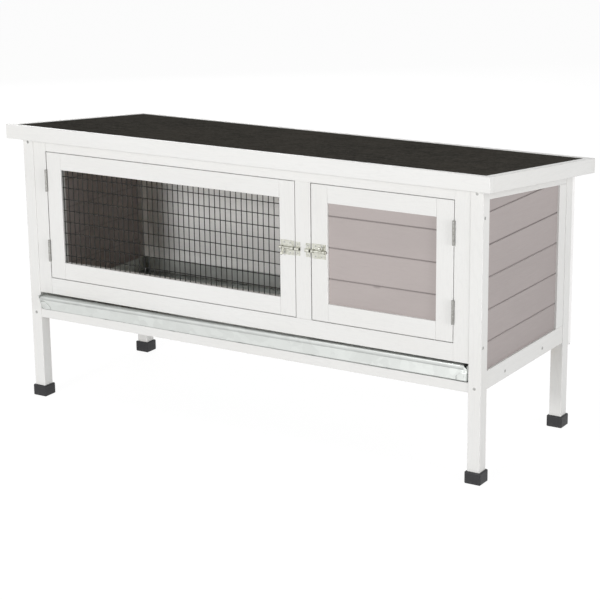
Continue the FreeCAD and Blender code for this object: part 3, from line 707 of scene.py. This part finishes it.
def make_felt():
    """Felt sheet that lies a little unevenly on the roof board."""
    points = [vertex.co for vertex in NODES["roof_felt"].data.vertices]
    low, high = (Vector(corner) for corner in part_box("roof_felt"))
    front = [point.z for point in points if abs(point.y - low.y) < 0.1 * MM]
    rear = [point.z for point in points if abs(point.y - high.y) < 0.1 * MM]
    front_top, rear_top = max(front), max(rear)
    thickness = front_top - min(front)
    width, depth = high.x - low.x, high.y - low.y
    gap, calm = 0.15 * MM, 12 * MM
    sag, wave_height, grit_height = 0.45 * MM, 0.40 * MM, 0.12 * MM
    columns, lines = 190, 78

    def place(column, line):
        """Plain position of a grid point on the slope of the roof."""
        x = low.x + gap + (width - 2 * gap) * (column / columns)
        y = low.y + gap + (depth - 2 * gap) * (line / lines)
        return x, y, front_top + (rear_top - front_top) * (y - low.y) / depth

    def upper(column, line):
        """Point of the upper face, which sags in gentle waves away from its border."""
        x, y, z = place(column, line)
        u, v = column / columns, line / lines
        border = min(u * width, (1 - u) * width, v * depth, (1 - v) * depth)
        settled = min(1.0, border / calm)
        wave = noise.noise(Vector((x * 4.0, y * 7.0, 0.0)))
        wave += 0.45 * noise.noise(Vector((x * 17.0, y * 19.0, 5.0)))
        grit = noise.noise(Vector((x * 260.0, y * 260.0, 9.0)))
        drop = sag - wave_height * wave * settled - grit_height * grit
        return Vector((x, y, z - max(0.0, drop)))

    def lower(column, line):
        """Point of the plain lower face."""
        x, y, z = place(column, line)
        return Vector((x, y, z - thickness + 0.05 * MM))

    piece = new_piece("roof_felt_sheet", "hutch", ["roof_felt"], "mineral_felt")
    work = bmesh.new()
    grid = strip(work, [
        [upper(column, line) for column in range(columns + 1)] for line in range(lines + 1)
    ])
    border_places = (
        [(column, 0) for column in range(columns + 1)]
        + [(columns, line) for line in range(1, lines + 1)]
        + [(column, lines) for column in range(columns - 1, -1, -1)]
        + [(0, line) for line in range(lines - 1, 0, -1)]
    )
    rim = [grid[line][column] for column, line in border_places]
    foot = [work.verts.new(lower(column, line)) for column, line in border_places]
    for index in range(len(rim)):
        following = (index + 1) % len(rim)
        work.faces.new((rim[index], foot[index], foot[following], rim[following]))
    work.faces.new(foot)
    fill(piece, work)


# ---------------------------------------------------------------------------- screws

def islands(node):
    """The separate solids of a CAD node, each as its list of points."""
    mesh = NODES[node].data
    merged = bmesh.new()
    merged.from_mesh(mesh)
    bmesh.ops.remove_doubles(merged, verts=merged.verts, dist=0.005 * MM)
    unseen = set(merged.verts)
    groups = []
    while unseen:
        queue = [unseen.pop()]
        group = []
        while queue:
            vertex = queue.pop()
            group.append(vertex.co.copy())
            for edge in vertex.link_edges:
                other = edge.other_vert(vertex)
                if other in unseen:
                    unseen.remove(other)
                    queue.append(other)
        groups.append(group)
    merged.free()
    return groups


def screw_head(work, centre, outward, radius, turn):
    """Countersunk head with a cross recess, flush with the surface round it."""
    sides = 24
    face = (outward.to_track_quat("Z", "Y")).to_matrix() @ Matrix.Rotation(turn, 3, "Z")

    def ring(scale, rise):
        """Round loop of corners, its radius a share of the head's."""
        return [
            work.verts.new(centre + face @ Vector((
                math.cos(2 * math.pi * step / sides) * radius * scale,
                math.sin(2 * math.pi * step / sides) * radius * scale,
                rise,
            )))
            for step in range(sides)
        ]

    def cross(arm, half, rise):
        """Cross-shaped loop of corners, its arms a share of the head's radius."""
        corners = [
            (arm, -half), (arm, half), (half, half), (half, arm),
            (-half, arm), (-half, half), (-arm, half), (-arm, -half),
            (-half, -half), (-half, -arm), (half, -arm), (half, -half),
        ]
        return [
            work.verts.new(centre + face @ Vector((x * radius, y * radius, rise)))
            for x, y in corners
        ]

    rim_low, rim, shoulder = ring(0.98, -0.5 * MM), ring(1.0, 0.02 * MM), ring(0.86, 0.16 * MM)
    band(work, rim_low, rim)
    band(work, rim, shoulder)
    mouth = cross(0.56, 0.13, 0.18 * MM)
    pit = cross(0.30, 0.07, -0.32 * radius)
    band(work, mouth, pit)
    work.faces.new(pit)
    edges = []
    for loop in (shoulder, mouth):
        for step in range(len(loop)):
            edges.append(work.edges.get((loop[step], loop[(step + 1) % len(loop)])))
    bmesh.ops.bridge_loops(work, edges=edges)


def make_screw_heads(name, body, node):
    """Heads in the places of one CAD node's screws."""
    random.seed(len(node))
    piece = new_piece(name, body, [node], "screw_steel")
    work = bmesh.new()
    for group in islands(node):
        low = Vector([min(point[axis] for point in group) for axis in (X, Y, Z)])
        high = Vector([max(point[axis] for point in group) for axis in (X, Y, Z)])
        size = high - low
        axis = max((X, Y, Z), key=lambda item: size[item])
        middle = (low + high) / 2
        radius = max(size[item] for item in (X, Y, Z) if item != axis) / 2

        def spread(level):
            """How far the points at one end lie from the screw's axis."""
            return max(
                ((point - middle) - Vector([
                    (point - middle)[item] if item == axis else 0.0 for item in (X, Y, Z)
                ])).length
                for point in group if abs(point[axis] - level) < 0.05 * MM
            )

        at_low = spread(low[axis]) > spread(high[axis])
        centre = middle.copy()
        centre[axis] = low[axis] if at_low else high[axis]
        outward = Vector((0.0, 0.0, 0.0))
        outward[axis] = -1.0 if at_low else 1.0
        screw_head(work, centre, outward, radius, random.uniform(0.0, math.pi / 2))
    fill(piece, work, smooth=False)


make_door_mesh()
make_tray()
make_felt()
make_screw_heads("frame_screw_heads", "hutch", "frame_screws")
make_screw_heads("left_door_screw_heads", "left_door", "left_door_screws")
make_screw_heads("right_door_screw_heads", "right_door", "right_door_screws")

for node in (*HINGE_LEAVES, "left_bolt_plate", "right_bolt_plate", "bolt_keepers"):
    rounding = NODES[node].modifiers.new("edges", "BEVEL")
    rounding.width = 0.18 * MM
    rounding.segments = 2
    rounding.limit_method = "ANGLE"
    rounding.angle_limit = math.radians(40)


# ---------------------------------------------------------------- floor, light, camera

def make_floor():
    """Plain studio floor, grey under a white glow that leaves hardly any shadow."""
    mesh = bpy.data.meshes.new("studio_floor")
    work = bmesh.new()
    reach = 40.0
    corners = ((-reach, -reach), (reach, -reach), (reach, reach), (-reach, reach))
    work.faces.new([work.verts.new((x, y, 0.0)) for x, y in corners])
    work.to_mesh(mesh)
    work.free()
    floor = bpy.data.objects.new("studio_floor", mesh)
    bpy.context.scene.collection.objects.link(floor)
    finish = Finish("studio_floor", FLOOR, 0.9, specular=0.0)
    finish.set("Emission Color", (1.0, 1.0, 1.0, 1.0))
    ray = finish.node("ShaderNodeLightPath").outputs["Is Diffuse Ray"]
    glow = finish.span(ray, 0.0, 1.0, FLOOR_GLOW_SEEN, FLOOR_GLOW_THROWN)
    finish.set("Emission Strength", glow)
    faint = finish.noise(0.6, detail=1.0)
    finish.set("Base Color", finish.blend(faint, FLOOR, scaled(FLOOR, 0.95)))
    mesh.materials.append(finish.material)


def soft_box(name, target, azimuth, elevation, distance, width, power):
    """Square area light that faces the target."""
    light = bpy.data.lights.new(name, "AREA")
    light.shape = "SQUARE"
    light.size = width
    light.energy = power
    lamp = bpy.data.objects.new(name, light)
    round_it, above = math.radians(azimuth), math.radians(elevation)
    level = Vector((math.sin(round_it), -math.cos(round_it), 0.0))
    away = level * math.cos(above) + Vector((0.0, 0.0, math.sin(above)))
    lamp.location = target + away * distance
    lamp.rotation_euler = away.to_track_quat("Z", "Y").to_euler()
    lamp.visible_camera = False
    bpy.context.scene.collection.objects.link(lamp)


def make_light():
    """Soft lights in front, at the right, above and behind, in white surroundings."""
    low, high = cad_box
    target = (Vector(low) + Vector(high)) / 2
    world = bpy.data.worlds.new("studio")
    world.use_nodes = True
    tree = world.node_tree
    sky = tree.nodes["Background"]
    sky.inputs["Color"].default_value = (1.0, 1.0, 1.0, 1.0)
    ray = tree.nodes.new("ShaderNodeLightPath")
    strength = tree.nodes.new("ShaderNodeMapRange")
    strength.inputs["To Min"].default_value = SKY_SEEN
    strength.inputs["To Max"].default_value = SKY_THROWN
    tree.links.new(ray.outputs["Is Diffuse Ray"], strength.inputs["Value"])
    tree.links.new(strength.outputs["Result"], sky.inputs["Strength"])
    bpy.context.scene.world = world
    for name, settings in LIGHTS.items():
        soft_box(name, target, *settings)


def make_camera():
    """Long lens at the front right, a little above the roof."""
    data = bpy.data.cameras.new("view")
    data.sensor_width = 36.0
    data.lens = CAMERA_LENS
    data.clip_end = 100.0
    camera = bpy.data.objects.new("view", data)
    yaw = Matrix.Rotation(math.radians(CAMERA_YAW), 4, "Z")
    pitch = Matrix.Rotation(math.radians(90.0 - CAMERA_PITCH), 4, "X")
    roll = Matrix.Rotation(math.radians(CAMERA_ROLL), 4, "Z")
    camera.matrix_world = Matrix.Translation(CAMERA_PLACE) @ yaw @ pitch @ roll
    bpy.context.scene.collection.objects.link(camera)
    bpy.context.scene.camera = camera


make_floor()
make_light()
make_camera()
bpy.context.scene.view_settings.view_transform = "Standard"
